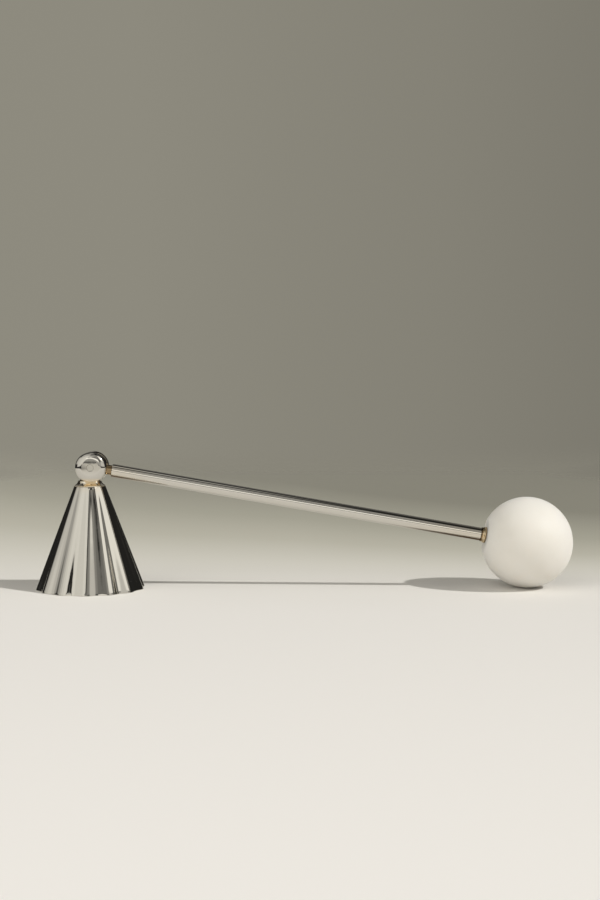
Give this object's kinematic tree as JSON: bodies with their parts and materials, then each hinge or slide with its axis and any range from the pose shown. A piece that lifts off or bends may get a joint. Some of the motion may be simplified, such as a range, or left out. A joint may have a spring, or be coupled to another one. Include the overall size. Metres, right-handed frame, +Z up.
{
  "type": "candle snuffer",
  "caption": "Candle snuffer: a fluted conical bell hinged by a round forked knuckle to a slim straight handle that ends in a plain ball, resting on the bell's mouth and the ball.",
  "frame": {"origin": "middle of the footprint of the resting tool, on the surface that it stands on", "axes": "+X from the bell towards the ball, +Y along the hinge pin away from the viewer, +Z up along the bell's axis"},
  "size_m": [0.2484, 0.0504, 0.0633],
  "materials": {
    "bell_nickel": "polished",
    "collar_nickel": "polished",
    "fork_nickel": "polished",
    "pin_nickel": "polished",
    "tongue_nickel": "polished",
    "tube_nickel": "polished",
    "washer_steel": "satin",
    "fastener_steel": "satin",
    "insert_brass": "satin",
    "ball_stone": "matte"
  },
  "bodies": {
    "handle": {"knuckle_tongue": "tongue_nickel", "handle_tube": "tube_nickel", "tube_bush": "insert_brass", "ball_collar": "collar_nickel", "ball_stud": "fastener_steel", "ball_insert": "insert_brass", "handle_ball": "ball_stone"},
    "bell": {"bell_shell": "bell_nickel", "crown_collar": "collar_nickel", "knuckle_fork": "fork_nickel", "hinge_pin": "pin_nickel", "front_hinge_washer": "washer_steel", "rear_hinge_washer": "washer_steel", "stem_washer": "fastener_steel", "stem_lock_washer": "fastener_steel", "stem_nut": "fastener_steel"}
  },
  "joints": [
    {"name": "bell_hinge", "type": "hinge", "parent": "handle", "child": "bell", "pos_m": [-0.09821, 0, 0.05625], "axis": [0, 1, 0], "range_deg": [-18, 212]}
  ]
}
